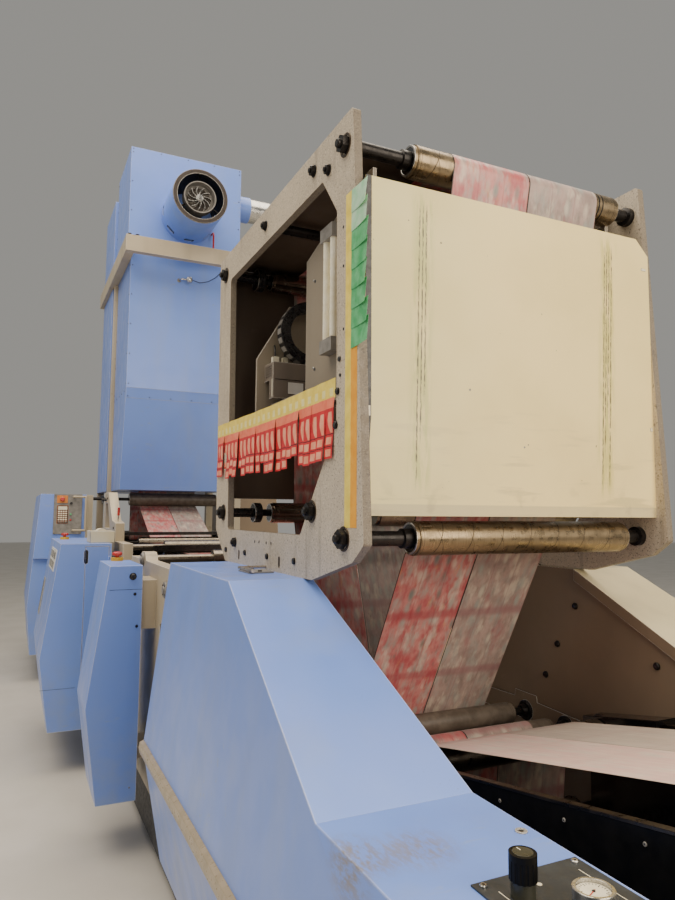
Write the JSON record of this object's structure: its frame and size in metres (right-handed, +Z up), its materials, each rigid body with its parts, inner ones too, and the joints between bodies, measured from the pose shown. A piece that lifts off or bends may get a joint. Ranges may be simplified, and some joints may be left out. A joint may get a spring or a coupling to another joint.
{
  "type": "web offset printing press line",
  "caption": "Web offset press line: cabinets with a tall roller frame, print units and a dryer tower with a blower, threaded with a narrow two-strip paper web.",
  "frame": {"origin": "floor level under the centre of the line's bounding box", "axes": "+Y along the line from the front unit to the rear unit, +X to the drive side, +Z up"},
  "size_m": [2.832, 9, 5.78],
  "materials": {
    "blue_paint": "semi-gloss stoved enamel, rubbed at the edges",
    "cream_paint": "semi-gloss enamel with ink mist and dust streaks",
    "beige_paint": "satin enamel",
    "plate_grey": "matt speckled plate paint, stained near the shafts",
    "dark_grey": "matt paint with ink dirt",
    "black_enamel": "gloss enamel",
    "dark_panel": "textured control plate",
    "white_paint": "satin enamel",
    "steel": "ground and polished by the web",
    "black_steel": "oiled black steel",
    "bright_metal": "turned and brushed",
    "dark_rubber": "matt roller cover",
    "black_plastic": "moulded",
    "red_plastic": "moulded",
    "yellow_plastic": "moulded",
    "paper": "thin coated paper, printed all over"
  },
  "bodies": {
    "press": {"base_beams": "dark_grey", "cross_beams": "dark_grey", "levelling_feet": "black_steel", "operator_cabinet": "blue_paint", "cabinet_bumpers": "beige_paint", "drive_covers": "cream_paint", "web_tray": "black_enamel", "control_panel": "dark_panel", "pressure_gauge": "bright_metal", "left_frame_plate": "plate_grey", "right_frame_plate": "plate_grey", "frame_stays": "steel", "front_sheet": "cream_paint", "frame_cover": "dark_grey", "roller_shafts": "black_steel", "guide_rollers": "steel", "inspection_beam": "beige_paint", "inspection_head": "plate_grey", "inspection_lamp": "white_paint", "cable_chain": "black_plastic", "web_runs": "paper", "web_wraps": "paper", "side_frames": "beige_paint", "unit_housings": "dark_grey", "print_cylinders": "steel", "unit_one_shield": "blue_paint", "unit_two_cabinet": "blue_paint", "unit_two_bracket": "beige_paint", "cabinet_brackets": "beige_paint", "stop_bases": "yellow_plastic", "tower_posts": "beige_paint", "ring_side_beams": "beige_paint", "ring_cross_beams": "beige_paint", "tower_head": "blue_paint", "tower_shaft": "blue_paint", "tower_column": "blue_paint", "duct_stub": "bright_metal", "blower_casing": "blue_paint", "blower_motor": "plate_grey", "rear_console": "blue_paint", "rear_keypad": "white_paint", "rear_handle": "beige_paint"},
    "top_roller": {"top_roller": "steel"},
    "lower_roller": {"lower_roller": "steel"},
    "rear_top_roller": {"rear_top_roller": "steel"},
    "rear_low_roller": {"rear_low_roller": "steel"},
    "draw_roller": {"draw_roller": "dark_rubber"},
    "wrap_roller": {"wrap_roller": "dark_rubber"},
    "tower_roller": {"tower_roller": "dark_rubber"},
    "fan_wheel": {"fan_wheel": "bright_metal"},
    "regulator_knob": {"regulator_knob": "black_plastic"},
    "unit_two_door": {"unit_two_door": "blue_paint"},
    "stop_button_one": {"stop_button_one": "red_plastic"},
    "stop_button_two": {"stop_button_two": "red_plastic"}
  },
  "joints": [
    {"name": "top_roller_spin", "type": "hinge", "parent": "press", "child": "top_roller", "pos_m": [0.01, -3.183, 2.967], "axis": [1, 0, 0], "continuous": true},
    {"name": "lower_roller_spin", "type": "hinge", "parent": "press", "child": "lower_roller", "pos_m": [0.01, -3.186, 1.705], "axis": [1, 0, 0], "continuous": true},
    {"name": "rear_top_roller_spin", "type": "hinge", "parent": "press", "child": "rear_top_roller", "pos_m": [0.01, -1.81, 2.97], "axis": [1, 0, 0], "continuous": true},
    {"name": "rear_low_roller_spin", "type": "hinge", "parent": "press", "child": "rear_low_roller", "pos_m": [0.01, -1.85, 1.785], "axis": [1, 0, 0], "continuous": true},
    {"name": "draw_roller_spin", "type": "hinge", "parent": "press", "child": "draw_roller", "pos_m": [0.01, -2.54, 0.9], "axis": [1, 0, 0], "continuous": true},
    {"name": "wrap_roller_spin", "type": "hinge", "parent": "press", "child": "wrap_roller", "pos_m": [0.01, -2.79, 0.895], "axis": [1, 0, 0], "continuous": true},
    {"name": "tower_roller_spin", "type": "hinge", "parent": "press", "child": "tower_roller", "pos_m": [0.085, 2.967, 1.933], "axis": [1, 0, 0], "continuous": true},
    {"name": "fan_spin", "type": "hinge", "parent": "press", "child": "fan_wheel", "pos_m": [0.035, 1.86, 5.08], "axis": [0, -1, 0], "continuous": true},
    {"name": "knob_turn", "type": "hinge", "parent": "press", "child": "regulator_knob", "pos_m": [-0.791, -4.125, 1.17], "axis": [0, 0, 1], "continuous": true},
    {"name": "door_hinge", "type": "hinge", "parent": "press", "child": "unit_two_door", "pos_m": [-0.9585, 0.093, 1.065], "axis": [0, 0, 1], "range_deg": [0, 110]},
    {"name": "stop_one_press", "type": "slide", "parent": "press", "child": "stop_button_one", "axis": [0, 0, -1], "range_m": [0, 0.006]},
    {"name": "stop_two_press", "type": "slide", "parent": "press", "child": "stop_button_two", "axis": [0, 0, -1], "range_m": [0, 0.006]}
  ]
}
